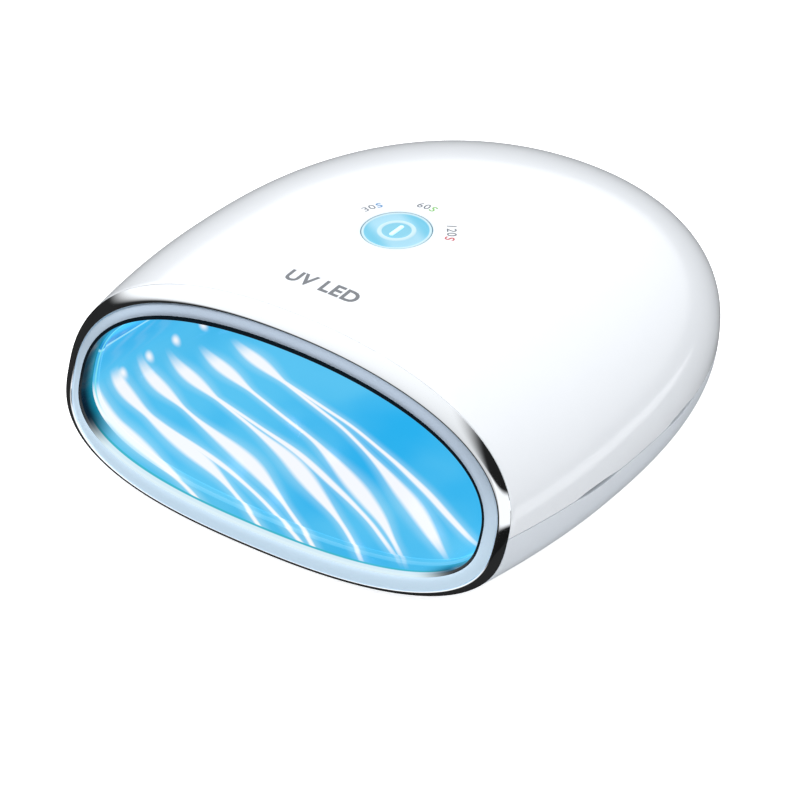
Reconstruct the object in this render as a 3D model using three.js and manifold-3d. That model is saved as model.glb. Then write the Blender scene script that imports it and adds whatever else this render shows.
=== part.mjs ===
// A table-top LED lamp that cures nail varnish and modelling resin.
// Millimetres, +Z up. The hand goes in along +Y, X is to the right seen from the mouth.
// Lamp coordinates: z = 0 is the underside of the tray, y = 0 the foot of the mouth ring.
// The whole lamp is moved at the end, so that it stands on its feet around the origin.

import * as THREE from 'three';
import { ParametricGeometry } from 'three/addons/geometries/ParametricGeometry.js';
import { mergeVertices } from 'three/addons/utils/BufferGeometryUtils.js';
import Module from 'manifold-3d';

const wasm = await Module();
wasm.setup();

// ---------------------------------------------------------------- driving dimensions

const GAP = 0.3; // clearance between neighbouring pieces
const WALL = 2.2; // housing wall

// egg-shaped body
const BODY = {
  depth: 215.6,
  halfWidth: 100,
  mouthHalfWidth: 93.3,
  widestAt: 61.5,
  crownUp: 52,
  crownAt: 78.5,
  mouthCrownDrop: 3.2,
  levelFront: 29.35,
  levelBack: 31.15,
  upperRound: 2.07,
  lowerRound: 3.2,
};
// power and root of the curves that draw the body in towards its back
const WIDTH_TAPER = [2.36, 2.17];
const CROWN_TAPER = [1.98, 2.13];
const BELLY_TAPER = [3.15, 2.01];
// the mouth plane leans back and its sides are drawn back
const LEAN = Math.tan(THREE.MathUtils.degToRad(18.8));
const BOW = 8.9;
const DISH = 2;
const DISH_LEVEL = 45;
const SEAM_HEIGHT = 28.5;

// mouth rings, given as distances in from the body's outline
const CREASE = { side: 3.9, top: 6.6, bottom: 1.2 };
const MOUTH = { side: 9.0, top: 12.1, bottom: 7.0 };
const LIP_FRONT = 5.3;
const LIP_DEPTH = 3;
const LIP_PROUD = 1.8;
const HOOD_FRONT = LIP_FRONT + LIP_DEPTH + GAP;

// curing chamber
const CHAMBER = { depth: 166, crownFall: 8.2, fallLength: 34, wall: 1.5, joint: 34 };

// flat sole of the tray
const SOLE = { halfWidth: 72, front: 12, back: 176, corner: 42, top: 14 };

// ventilation slots in the seam
const SLOT = { along: [46.4, 106], halfLength: 10.5, halfHeight: 0.9, reach: 9, inset: 3 };

// feet
const FOOT = { radius: 6, stand: 2, pocket: 1.2 };
const FOOT_PLACES = [[-56, 30], [56, 30], [-44, 156], [44, 156]];

// power button, pressed along -Z
const BUTTON = {
  radius: 12.2,
  along: 66.6,
  proud: 0.35,
  thick: 2.6,
  travel: 0.8,
  stemRadius: 3,
  stemLength: 7.2,
};
const GUIDE = { depth: 6.2, floor: 1.2, wall: 2, window: 1.9 };
const SPRING = { turns: 3, radius: 4.6, wire: 0.35 };

// electronics
const BOARD = { thick: 1.6, halfX: 36, halfY: 19 };
const BOARD_TOP = 67;
const POST = { x: 31, foot: 45, radius: 3, pilot: 1.6 };
const BOARD_SCREW = { radius: 1.25, headRadius: 2.6, head: 2, length: 5 };
const INDICATOR = { circle: 8.6, radius: 1.5, barrel: 1.6 };
const SWITCH = { half: 3, plunger: 1.7, overlap: 0.5, below: 1.9, clearance: 0.15 };

// three boards lie on the ceiling, each with four LEDs that look through holes in the hood
const BANK_ALONG = 75;
const SIDE_BANK_ANGLE = 2.27;
const LAMP_BANKS = [
  { name: 'left', angle: SIDE_BANK_ANGLE, width: 32, depth: 60, stand: 3.4 },
  { name: 'centre', angle: Math.PI / 2, width: 46, depth: 60, stand: 1.6 },
  { name: 'right', angle: Math.PI - SIDE_BANK_ANGLE, width: 32, depth: 60, stand: 3.4 },
];
const LED = { lens: 2.6, hole: 3.1, across: 0.27, back: 0.28 };
const SPREADER = { halfX: 21, halfY: 28, thick: 1 };

// screws that go up through the tray into the shell, and what they sit in
const SCREW = { radius: 1.5, headRadius: 3, headEnd: 14.5, seat: 16.7, tip: 38 };
const SCREW_PLACES = [[-89.5, 68], [89.5, 68], [-40, 190], [40, 190]];
const COLUMN = { radius: 4.8, shaft: 1.9, counterbore: 3.5, counterboreEnd: 17 };
const BOSS = { radius: 3.6, pilot: 1.9, top: 72, pilotEnd: 44 };

// power inlet in the back of the tray
const JACK = { z: 21.5, face: 200.5, depth: 17, noseLength: 7, nose: 4.1, bore: 3.1, hole: 4.5 };
const JACK_BODY = { halfX: 4.6, halfZ: 4.8 };
const JACK_PIN = { radius: 1, length: 8.6, inset: 5.4 };
const LEAD_RADIUS = { power: 1.1, lamp: 0.9 };

// facets round and along the lofted bodies, and how far cutting bodies start before the mouth
const OUTER_MESH = { slices: 40, stacks: 11 };
const INNER_MESH = { slices: 28, stacks: 9 };
const HOOP_SLICES = 48;
const AHEAD = -20;

// a box that holds the whole lamp, from which the halves are cut
const HOLD = { x: 120, front: -30, back: 240, low: -10, high: 120 };

// ---------------------------------------------------------------- solids and meshes

function withoutDuplicates(geometry) {
  const bare = geometry.clone();
  bare.deleteAttribute('normal');
  bare.deleteAttribute('uv');
  const merged = mergeVertices(bare, 1e-4);
  const index = merged.getIndex().array;
  const kept = [];
  for (let i = 0; i < index.length; i += 3) {
    const [a, b, c] = [index[i], index[i + 1], index[i + 2]];
    if (a !== b && b !== c && a !== c) kept.push(a, b, c);
  }
  merged.setIndex(kept);
  return merged;
}

function signedVolume(geometry) {
  const position = geometry.getAttribute('position');
  const index = geometry.getIndex().array;
  const [a, b, c] = [new THREE.Vector3(), new THREE.Vector3(), new THREE.Vector3()];
  let volume = 0;
  for (let i = 0; i < index.length; i += 3) {
    a.fromBufferAttribute(position, index[i]);
    b.fromBufferAttribute(position, index[i + 1]);
    c.fromBufferAttribute(position, index[i + 2]);
    volume += a.dot(b.cross(c)) / 6;
  }
  return volume;
}

function facingOut(geometry) {
  const closed = withoutDuplicates(geometry);
  if (signedVolume(closed) < 0) {
    const index = closed.getIndex().array;
    const flipped = [];
    for (let i = 0; i < index.length; i += 3) flipped.push(index[i], index[i + 2], index[i + 1]);
    closed.setIndex(flipped);
  }
  return closed;
}

function solid(geometry) {
  const closed = facingOut(geometry);
  return new wasm.Manifold(new wasm.Mesh({
    numProp: 3,
    vertProperties: new Float32Array(closed.getAttribute('position').array),
    triVerts: new Uint32Array(closed.getIndex().array),
  }));
}

function geometryOf(manifold) {
  const mesh = manifold.getMesh();
  const geometry = new THREE.BufferGeometry();
  geometry.setAttribute('position', new THREE.BufferAttribute(new Float32Array(mesh.vertProperties), 3));
  geometry.setIndex(Array.from(mesh.triVerts));
  geometry.computeVertexNormals();
  return geometry;
}

function named(name, shape, material) {
  const geometry = shape.isBufferGeometry ? facingOut(shape) : geometryOf(shape);
  const mesh = new THREE.Mesh(geometry, material);
  mesh.name = name;
  return mesh;
}

// ---------------------------------------------------------------- simple shapes

function box(x0, x1, y0, y1, z0, z1) {
  const geometry = new THREE.BoxGeometry(x1 - x0, y1 - y0, z1 - z0);
  return geometry.translate((x0 + x1) / 2, (y0 + y1) / 2, (z0 + z1) / 2);
}

function disc(x, y, z0, z1, radius, sides = 20) {
  const geometry = new THREE.CylinderGeometry(radius, radius, z1 - z0, sides);
  return geometry.rotateX(Math.PI / 2).translate(x, y, (z0 + z1) / 2);
}

function turned(points, sides) {
  const profile = points.map(([radius, z]) => new THREE.Vector2(radius, z));
  return new THREE.LatheGeometry(profile, sides).rotateX(Math.PI / 2);
}

function roundedOutline(x0, x1, y0, y1, corner) {
  const shape = new THREE.Shape();
  shape.moveTo(x0 + corner, y0);
  shape.lineTo(x1 - corner, y0);
  shape.absarc(x1 - corner, y0 + corner, corner, -Math.PI / 2, 0);
  shape.lineTo(x1, y1 - corner);
  shape.absarc(x1 - corner, y1 - corner, corner, 0, Math.PI / 2);
  shape.lineTo(x0 + corner, y1);
  shape.absarc(x0 + corner, y1 - corner, corner, Math.PI / 2, Math.PI);
  shape.lineTo(x0, y0 + corner);
  shape.absarc(x0 + corner, y0 + corner, corner, Math.PI, Math.PI * 1.5);
  return shape;
}

function slab(x0, x1, y0, y1, z0, z1, corner, arcSteps = 5) {
  const outline = roundedOutline(x0, x1, y0, y1, corner);
  const geometry = new THREE.ExtrudeGeometry(outline, {
    depth: z1 - z0,
    bevelEnabled: false,
    curveSegments: arcSteps,
  });
  return geometry.translate(0, 0, z0);
}

function wire(points, radius, steps, arcSteps = 4) {
  const path = new THREE.CatmullRomCurve3(points.map((p) => new THREE.Vector3(...p)));
  const section = new THREE.Shape();
  section.absarc(0, 0, radius, 0, Math.PI * 2);
  return new THREE.ExtrudeGeometry(section, { steps, extrudePath: path, curveSegments: arcSteps });
}

// ---------------------------------------------------------------- body surface

function lean(x, z) {
  const bow = BOW * (x / BODY.mouthHalfWidth) ** 2;
  const dish = DISH * ((z - DISH_LEVEL) / DISH_LEVEL) ** 2;
  return z * LEAN + bow - dish;
}

function fade(t, power, root) {
  return Math.max(0, 1 - Math.max(0, t) ** power) ** (1 / root);
}

// half width, widest level and the heights above and below it, `inset` inside the body
function bodyProfile(along, inset = 0) {
  const depth = BODY.depth - inset;
  const ahead = Math.max(0, BODY.widestAt - along) / BODY.widestAt;
  const beyond = (along - BODY.widestAt) / (depth - BODY.widestAt);
  const drop = BODY.mouthCrownDrop * (Math.max(0, BODY.crownAt - along) / BODY.crownAt) ** 2;
  const afterCrown = (along - BODY.crownAt) / (depth - BODY.crownAt);
  const level = THREE.MathUtils.lerp(BODY.levelFront, BODY.levelBack, along / BODY.depth);
  const narrowing = (BODY.halfWidth - BODY.mouthHalfWidth) * ahead ** 2;
  return {
    half: (BODY.halfWidth - inset) * fade(beyond, ...WIDTH_TAPER) - narrowing,
    level,
    up: (BODY.crownUp - inset) * fade(afterCrown, ...CROWN_TAPER) - drop,
    down: (level - inset) * fade(along / depth, ...BELLY_TAPER),
    depth,
  };
}

// the chamber's section is the mouth opening, lower further in and closed at the back
function chamberProfile(along, inset = 0) {
  const mouth = bodyProfile(0);
  const depth = CHAMBER.depth - inset;
  const t = along / depth;
  const fall = CHAMBER.crownFall * THREE.MathUtils.smoothstep(along, 0, CHAMBER.fallLength);
  return {
    half: (mouth.half - MOUTH.side - inset) * fade(t, 3, 2.5),
    level: mouth.level,
    up: (mouth.up - MOUTH.top - fall - inset) * fade(t, 5, 2.5),
    down: (mouth.level - MOUTH.bottom - inset) * fade(t, 10, 2.5),
    depth,
  };
}

function sectionPoint(section, angle, scale = 1) {
  const [c, s] = [Math.cos(angle), Math.sin(angle)];
  const power = 2 / (s > 0 ? BODY.upperRound : BODY.lowerRound);
  const height = s > 0 ? section.up : section.down;
  return {
    x: scale * section.half * Math.sign(c) * Math.abs(c) ** power,
    z: section.level + scale * height * Math.sign(s) * Math.abs(s) ** power,
  };
}

function leanedY(along, x, z) {
  return along + (1 - along / BODY.depth) * lean(x, z);
}

// closed body from a flat front at `front` to the pole at the back
function loftedBody(profile, inset, front, slices, stacks) {
  const capStacks = 3;
  const { depth } = profile(0, inset);
  const surface = (u, v, target) => {
    const step = Math.round(v * (capStacks + stacks));
    const scale = Math.min(1, step / capStacks);
    const turn = Math.max(0, step - capStacks) / stacks;
    const along = front + (depth - front) * Math.sin(turn * Math.PI / 2);
    const { x, z } = sectionPoint(profile(along, inset), u * Math.PI * 2, scale);
    target.set(x, leanedY(along, x, z), z);
  };
  return new ParametricGeometry(surface, slices, capStacks + stacks);
}

// closed hoop around the mouth: each corner is an inset from the outline and a depth behind it
function mouthHoop(corners) {
  const outline = bodyProfile(0);
  const surface = (u, v, target) => {
    const corner = corners[Math.round(v * corners.length) % corners.length];
    const section = {
      half: outline.half - corner.side,
      level: outline.level,
      up: outline.up - corner.top,
      down: outline.down - corner.bottom,
    };
    const { x, z } = sectionPoint(section, u * Math.PI * 2);
    target.set(x, leanedY(corner.back, x, z), z);
  };
  return new ParametricGeometry(surface, HOOP_SLICES, corners.length);
}

function insetBy(base, extra, back) {
  return { side: base.side + extra, top: base.top + extra, bottom: base.bottom + extra, back };
}

// point on the top surface of the body's centre line
function crownPoint(along) {
  const { level, up } = bodyProfile(along);
  return { y: leanedY(along, 0, level + up), z: level + up };
}

// ---------------------------------------------------------------- places worked out from the body

const button = crownPoint(BUTTON.along);
const buttonTop = button.z + BUTTON.proud;
const capUnderside = buttonTop - BUTTON.thick;
const stemEnd = capUnderside - BUTTON.stemLength;
const guideFloor = capUnderside - GUIDE.depth;
const postPlaces = [[-POST.x, button.y], [POST.x, button.y]];
const indicatorPlaces = [150, 90, 30].map((degrees) => {
  const angle = THREE.MathUtils.degToRad(degrees);
  return [INDICATOR.circle * Math.cos(angle), button.y + INDICATOR.circle * Math.sin(angle)];
});

// ---------------------------------------------------------------- materials

function finish(color, roughness, metalness = 0) {
  return new THREE.MeshStandardMaterial({ color, roughness, metalness });
}

const whiteGloss = finish(0xf4f6f8, 0.18);
const chrome = finish(0xd8dce0, 0.06, 1);
const satin = finish(0xc9d6e4, 0.35, 0.6);
const clearAcrylic = finish(0x9fe4f2, 0.08);
const mirror = finish(0x8fd4f2, 0.1, 0.9);
const whiteMatt = finish(0xe6eaee, 0.5);
const rubber = finish(0x3a3d40, 0.85);
const buttonBlue = finish(0x9ad8f4, 0.3);
const boardGreen = finish(0x2e6b4a, 0.6);
const aluminium = finish(0xb9bec3, 0.35, 0.9);
const steel = finish(0x9da1a5, 0.3, 1);
const blackPlastic = finish(0x1c1e20, 0.45);
const ledLens = finish(0xe8f4ff, 0.1);
const copper = finish(0xb66a3c, 0.4, 0.9);

// ---------------------------------------------------------------- housing

function above(level) {
  return solid(box(-HOLD.x, HOLD.x, HOLD.front, HOLD.back, level + GAP / 2, HOLD.high));
}

function below(level) {
  return solid(box(-HOLD.x, HOLD.x, HOLD.front, HOLD.back, HOLD.low, level - GAP / 2));
}

function discsAt(places, z0, z1, radius, sides = 12) {
  return wasm.Manifold.union(places.map(([x, y]) => solid(disc(x, y, z0, z1, radius, sides))));
}

// lens-shaped ventilation slots along the seam, two on each side
function seamSlots() {
  const slots = [];
  for (const side of [-1, 1]) {
    for (const along of SLOT.along) {
      const lens = new THREE.SphereGeometry(1, 16, 6);
      lens.scale(SLOT.reach, SLOT.halfLength, SLOT.halfHeight);
      const { half } = bodyProfile(along);
      const [ahead, behind] = [bodyProfile(along - 4).half, bodyProfile(along + 4).half];
      const turn = Math.atan2(behind - ahead, 8);
      lens.rotateZ(-side * turn);
      lens.translate(side * (half - SLOT.inset), leanedY(along, half, SEAM_HEIGHT), SEAM_HEIGHT);
      slots.push(solid(lens));
    }
  }
  return wasm.Manifold.union(slots);
}

function topShell() {
  const outer = solid(loftedBody(bodyProfile, 0, GAP, OUTER_MESH.slices, OUTER_MESH.stacks));
  const inner = solid(loftedBody(bodyProfile, WALL, AHEAD, INNER_MESH.slices, INNER_MESH.stacks));
  const bore = solid(disc(0, button.y, 60, 100, BUTTON.radius + GAP, 32));
  return outer.subtract(inner)
    .add(discsAt(SCREW_PLACES, SEAM_HEIGHT, BOSS.top, BOSS.radius).intersect(outer))
    .subtract(discsAt(SCREW_PLACES, HOLD.low, BOSS.pilotEnd, BOSS.pilot))
    .subtract(bore)
    .subtract(seamSlots())
    .intersect(above(SEAM_HEIGHT));
}

function sole(inset, bottom) {
  const { halfWidth, front, back, corner, top } = SOLE;
  return solid(slab(
    inset - halfWidth, halfWidth - inset, front + inset, back - inset, bottom, top, corner - inset, 6,
  ));
}

function lowerTray() {
  const outer = solid(loftedBody(bodyProfile, 0, GAP, OUTER_MESH.slices, OUTER_MESH.stacks)).add(sole(0, 0));
  const inner = solid(loftedBody(bodyProfile, WALL, AHEAD, INNER_MESH.slices, INNER_MESH.stacks))
    .add(sole(WALL, WALL));
  const jackHole = new THREE.CylinderGeometry(JACK.hole, JACK.hole, 60, 16).translate(0, JACK.face, JACK.z);
  return outer.subtract(inner)
    .add(discsAt(SCREW_PLACES, 0, SEAM_HEIGHT - 0.5, COLUMN.radius).intersect(outer))
    .subtract(discsAt(SCREW_PLACES, HOLD.low, BOSS.pilotEnd, COLUMN.shaft))
    .subtract(discsAt(SCREW_PLACES, HOLD.low, COLUMN.counterboreEnd, COLUMN.counterbore))
    .subtract(discsAt(FOOT_PLACES, HOLD.low, FOOT.pocket, FOOT.radius + GAP, 20))
    .subtract(solid(jackHole))
    .subtract(seamSlots())
    .intersect(below(SEAM_HEIGHT));
}

// ---------------------------------------------------------------- mouth rings

function chromeRing() {
  const bulge = [[0, 0.05], [0.12, -0.75], [0.45, -1.35], [0.8, -1.2], [1, -0.7], [1, 0]];
  const corners = bulge.map(([part, back]) => ({
    side: CREASE.side * part,
    top: CREASE.top * part,
    bottom: CREASE.bottom * part,
    back,
  }));
  return mouthHoop(corners);
}

function mouthBezel() {
  const outer = insetBy(CREASE, GAP, -0.6);
  const shoulder = insetBy(CREASE, GAP, 0);
  // the flange goes into the housing, so it keeps clear of the wall
  const clearOfWall = WALL + 2 * GAP;
  const flange = {
    side: Math.max(shoulder.side, clearOfWall) + 0.05,
    top: Math.max(shoulder.top, clearOfWall) + 0.05,
    bottom: Math.max(shoulder.bottom, clearOfWall) + 0.05,
  };
  const middle = {
    side: (CREASE.side + MOUTH.side) / 2,
    top: (CREASE.top + MOUTH.top) / 2,
    bottom: (CREASE.bottom + MOUTH.bottom) / 2,
    back: -1.7,
  };
  return mouthHoop([
    outer,
    middle,
    insetBy(MOUTH, -0.4, -1.9),
    insetBy(MOUTH, 0, -1.4),
    insetBy(MOUTH, 0, LIP_FRONT - GAP),
    insetBy(MOUTH, -1.6, LIP_FRONT - GAP),
    insetBy(MOUTH, -1.6, 3),
    { ...flange, back: 3 },
    { ...flange, back: 0.05 },
    shoulder,
  ]);
}

function mouthLip() {
  const back = LIP_FRONT + LIP_DEPTH;
  return mouthHoop([
    insetBy(MOUTH, -1.2, LIP_FRONT),
    insetBy(MOUTH, 1.2, LIP_FRONT),
    insetBy(MOUTH, LIP_PROUD, LIP_FRONT + 0.8),
    insetBy(MOUTH, LIP_PROUD, back - 0.8),
    insetBy(MOUTH, 1.2, back),
    insetBy(MOUTH, -1.2, back),
  ]);
}

// ---------------------------------------------------------------- curing chamber

function chamberLiner() {
  const outer = solid(loftedBody(
    chamberProfile, -CHAMBER.wall, HOOD_FRONT, INNER_MESH.slices, INNER_MESH.stacks,
  ));
  const inner = solid(loftedBody(chamberProfile, 0, AHEAD, INNER_MESH.slices, INNER_MESH.stacks));
  const postEnd = BOARD_TOP - BOARD.thick - GAP;
  return outer.add(discsAt(postPlaces, POST.foot, postEnd, POST.radius))
    .subtract(discsAt(postPlaces, BOARD_TOP - BOARD_SCREW.length - 1, BOARD_TOP, POST.pilot, 10))
    .subtract(inner)
    .subtract(wasm.Manifold.union(LAMP_BANKS.flatMap(ledHoles)));
}

// the liner is split all round into a hood above and a pan below
function reflectorHood() {
  return chamberLiner().intersect(above(CHAMBER.joint));
}

function reflectorPan() {
  return chamberLiner().intersect(below(CHAMBER.joint));
}

// ---------------------------------------------------------------- button

function buttonCap() {
  const top = buttonTop;
  const { radius, stemRadius } = BUTTON;
  const cap = turned([
    [0, stemEnd],
    [stemRadius, stemEnd],
    [stemRadius, capUnderside],
    [radius, capUnderside],
    [radius, top - 0.6],
    [radius - 0.5, top - 0.1],
    [radius * 0.86, top - 0.15],
    [radius * 0.82, top - 0.45],
    [radius * 0.54, top - 0.4],
    [radius * 0.49, top],
    [radius * 0.43, top],
    [radius * 0.38, top - 0.35],
    [0, top - 0.3],
  ], 28);
  return cap.translate(0, button.y, 0);
}

// cup under the shell: a sleeve round the cap and a floor that carries the spring
function buttonGuide() {
  const sleeveTop = button.z - WALL - 1.7;
  const bore = BUTTON.radius + GAP;
  const stemHole = BUTTON.stemRadius + 0.4;
  const floorTop = guideFloor + GUIDE.floor;
  const cup = solid(turned([
    [stemHole, guideFloor],
    [bore + GUIDE.wall, guideFloor],
    [bore + GUIDE.wall, sleeveTop],
    [bore, sleeveTop],
    [bore, floorTop],
    [stemHole, floorTop],
    [stemHole, guideFloor],
  ], 28));
  const windows = discsAt(indicatorPlaces, guideFloor - 3, floorTop + 1.8, GUIDE.window, 10);
  return cup.translate([0, button.y, 0]).subtract(windows);
}

function buttonSpring() {
  const stepsPerTurn = 14;
  const z0 = guideFloor + GUIDE.floor + GAP + SPRING.wire;
  const z1 = capUnderside - BUTTON.travel - GAP - SPRING.wire;
  const count = SPRING.turns * stepsPerTurn;
  const points = [];
  for (let i = 0; i <= count; i += 1) {
    const angle = (i / stepsPerTurn) * Math.PI * 2;
    const z = THREE.MathUtils.lerp(z0, z1, i / count);
    points.push([SPRING.radius * Math.cos(angle), button.y + SPRING.radius * Math.sin(angle), z]);
  }
  return wire(points, SPRING.wire, count, 3);
}

// ---------------------------------------------------------------- electronics

function controlBoard() {
  const { thick, halfX, halfY } = BOARD;
  const plate = solid(box(-halfX, halfX, button.y - halfY, button.y + halfY, BOARD_TOP - thick, BOARD_TOP));
  return plate.subtract(discsAt(postPlaces, POST.foot, HOLD.high, POST.pilot, 10));
}

function tactileSwitch() {
  const { half, plunger, overlap, below: drop, clearance } = SWITCH;
  const [z0, z1, z2] = [BOARD_TOP + GAP, stemEnd - drop, stemEnd - BUTTON.travel - clearance];
  const body = solid(box(-half, half, button.y - half, button.y + half, z0, z1));
  return body.add(solid(disc(0, button.y, z1 - overlap, z2, plunger, 12)));
}

function dome(radius, barrel, sides = 10) {
  return turned([
    [0, 0],
    [radius, 0],
    [radius, barrel],
    [radius * 0.75, barrel + radius * 0.6],
    [radius * 0.35, barrel + radius * 0.9],
    [0, barrel + radius],
  ], sides);
}

// frame on the chamber's ceiling: origin on the hood's outside, +Z away from the chamber
function ceilingFrame(angle, along) {
  const section = chamberProfile(along, -CHAMBER.wall);
  const at = sectionPoint(section, angle);
  const next = sectionPoint(section, angle + 0.02);
  const normal = new THREE.Vector3(next.z - at.z, 0, at.x - next.x).normalize();
  const side = new THREE.Vector3(0, 1, 0).cross(normal).normalize();
  const frame = new THREE.Matrix4().makeBasis(side, new THREE.Vector3(0, 1, 0), normal);
  return frame.setPosition(at.x, leanedY(along, at.x, at.z), at.z);
}

// places of a board's four LEDs on the board
function ledPlaces({ width, depth }) {
  const places = [];
  for (const across of [-LED.across, LED.across]) {
    for (const back of [-LED.back, LED.back]) places.push([across * width, back * depth]);
  }
  return places;
}

function ledHoles(bank) {
  const frame = ceilingFrame(bank.angle, BANK_ALONG);
  return ledPlaces(bank).map(([x, y]) => solid(disc(x, y, -12, 6, LED.hole, 10).applyMatrix4(frame)));
}

function lampBank(bank, firstNumber) {
  const group = new THREE.Group();
  const frame = ceilingFrame(bank.angle, BANK_ALONG);
  const { width, depth, stand } = bank;
  const board = box(-width / 2, width / 2, -depth / 2, depth / 2, stand, stand + BOARD.thick);
  group.add(named(`led_board_${bank.name}`, board.applyMatrix4(frame), boardGreen));
  ledPlaces(bank).forEach(([x, y], i) => {
    const barrel = stand - GAP + CHAMBER.wall;
    const led = dome(LED.lens, barrel).rotateX(Math.PI).translate(x, y, stand - GAP);
    group.add(named(`curing_led_${firstNumber + i}`, led.applyMatrix4(frame), ledLens));
  });
  return group;
}

function heatSpreader() {
  const bank = LAMP_BANKS.find(({ name }) => name === 'centre');
  const frame = ceilingFrame(bank.angle, BANK_ALONG);
  const z0 = bank.stand + BOARD.thick + GAP;
  const { halfX, halfY, thick } = SPREADER;
  return box(-halfX, halfX, -halfY, halfY, z0, z0 + thick).applyMatrix4(frame);
}

function powerJack() {
  const { z, face, depth, noseLength } = JACK;
  const { halfX, halfZ } = JACK_BODY;
  const body = solid(box(-halfX, halfX, face - depth, face - noseLength, z - halfZ, z + halfZ));
  const nose = new THREE.CylinderGeometry(JACK.nose, JACK.nose, 9, 20).translate(0, face - 4.5, z);
  const bore = new THREE.CylinderGeometry(JACK.bore, JACK.bore, 12, 16).translate(0, face - 4, z);
  return body.add(solid(nose)).subtract(solid(bore));
}

function jackPin() {
  const { radius, length, inset } = JACK_PIN;
  return new THREE.CylinderGeometry(radius, radius, length, 10).translate(0, JACK.face - inset, JACK.z);
}

function powerLead() {
  const start = JACK.face - JACK.depth - 1.2;
  return wire([
    [0, start, JACK.z],
    [0, start - 3, JACK.z + 4],
    [0, start - 5, JACK.z + 20],
    [0, start - 10, JACK.z + 36],
    [0, start - 24, JACK.z + 46],
    [0, button.y + BOARD.halfY + 24, BOARD_TOP + 2.6],
    [0, button.y + BOARD.halfY - 4, BOARD_TOP + 2],
  ], LEAD_RADIUS.power, 22);
}

function lampLead(side) {
  const bank = LAMP_BANKS.find(({ name }) => name === (side > 0 ? 'right' : 'left'));
  const board = new THREE.Vector3(0, 26, 6).applyMatrix4(ceilingFrame(bank.angle, BANK_ALONG));
  return wire([
    [side * 28, button.y + 14, BOARD_TOP + 1.4],
    [side * 36, button.y + 17, BOARD_TOP + 3],
    [side * 44, button.y + 19, BOARD_TOP - 2],
    [board.x, board.y, board.z],
  ], LEAD_RADIUS.lamp, 12);
}

function screw(x, y, headEnd, seat, tip, headRadius, radius) {
  return turned([
    [0, headEnd],
    [headRadius, headEnd],
    [headRadius, seat],
    [radius, seat],
    [radius, tip],
    [0, tip],
  ], 12).translate(x, y, 0);
}

// ---------------------------------------------------------------- assembly

const lamp = new THREE.Group();

lamp.add(named('top_shell', topShell(), whiteGloss));
lamp.add(named('lower_tray', lowerTray(), whiteMatt));
lamp.add(named('chrome_ring', chromeRing(), chrome));
lamp.add(named('mouth_bezel', mouthBezel(), satin));
lamp.add(named('mouth_lip', mouthLip(), clearAcrylic));

LAMP_BANKS.forEach((bank, order) => lamp.add(lampBank(bank, order * 4 + 1)));
lamp.add(named('reflector_hood', reflectorHood(), mirror));
lamp.add(named('reflector_pan', reflectorPan(), mirror));
lamp.add(named('heat_spreader', heatSpreader(), aluminium));

const footNames = ['foot_front_left', 'foot_front_right', 'foot_rear_left', 'foot_rear_right'];
FOOT_PLACES.forEach(([x, y], i) => {
  lamp.add(named(footNames[i], disc(x, y, -FOOT.stand, FOOT.pocket - GAP, FOOT.radius, 20), rubber));
});

lamp.add(named('button_cap', buttonCap(), buttonBlue));
lamp.add(named('button_guide', buttonGuide(), whiteMatt));
lamp.add(named('button_spring', buttonSpring(), steel));
lamp.add(named('tactile_switch', tactileSwitch(), blackPlastic));
lamp.add(named('control_board', controlBoard(), boardGreen));
['30', '60', '120'].forEach((seconds, i) => {
  const [x, y] = indicatorPlaces[i];
  const led = dome(INDICATOR.radius, INDICATOR.barrel).translate(x, y, BOARD_TOP + GAP);
  lamp.add(named(`indicator_led_${seconds}`, led, ledLens));
});
postPlaces.forEach(([x, y], i) => {
  const { radius, headRadius, head, length } = BOARD_SCREW;
  const shape = screw(x, y, BOARD_TOP + head, BOARD_TOP + GAP, BOARD_TOP - length, headRadius, radius);
  lamp.add(named(`board_screw_${i + 1}`, shape, steel));
});

lamp.add(named('power_jack', powerJack(), blackPlastic));
lamp.add(named('power_jack_pin', jackPin(), steel));
lamp.add(named('power_lead', powerLead(), blackPlastic));
lamp.add(named('lamp_lead_left', lampLead(-1), copper));
lamp.add(named('lamp_lead_right', lampLead(1), copper));
SCREW_PLACES.forEach(([x, y], i) => {
  const { radius, headRadius, headEnd, seat, tip } = SCREW;
  const shape = screw(x, y, headEnd, seat, tip, headRadius, radius);
  lamp.add(named(`housing_screw_${i + 1}`, shape, steel));
});

// stand the lamp on its feet with the origin under the middle of its box
const extent = new THREE.Box3().setFromObject(lamp);
lamp.position.set(0, -(extent.min.y + extent.max.y) / 2, FOOT.stand);

export default new THREE.Group().add(lamp);
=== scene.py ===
"""Looks of a table-top LED curing lamp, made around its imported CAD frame.

Shapes are worked out in lamp millimetres: x to the right seen from the mouth, y inwards,
z = 0 under the tray and y = 0 at the foot of the mouth ring. place() moves them to the frame.
"""

import math

import bmesh
import bpy
import numpy as np
from mathutils import Matrix, Vector


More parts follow.
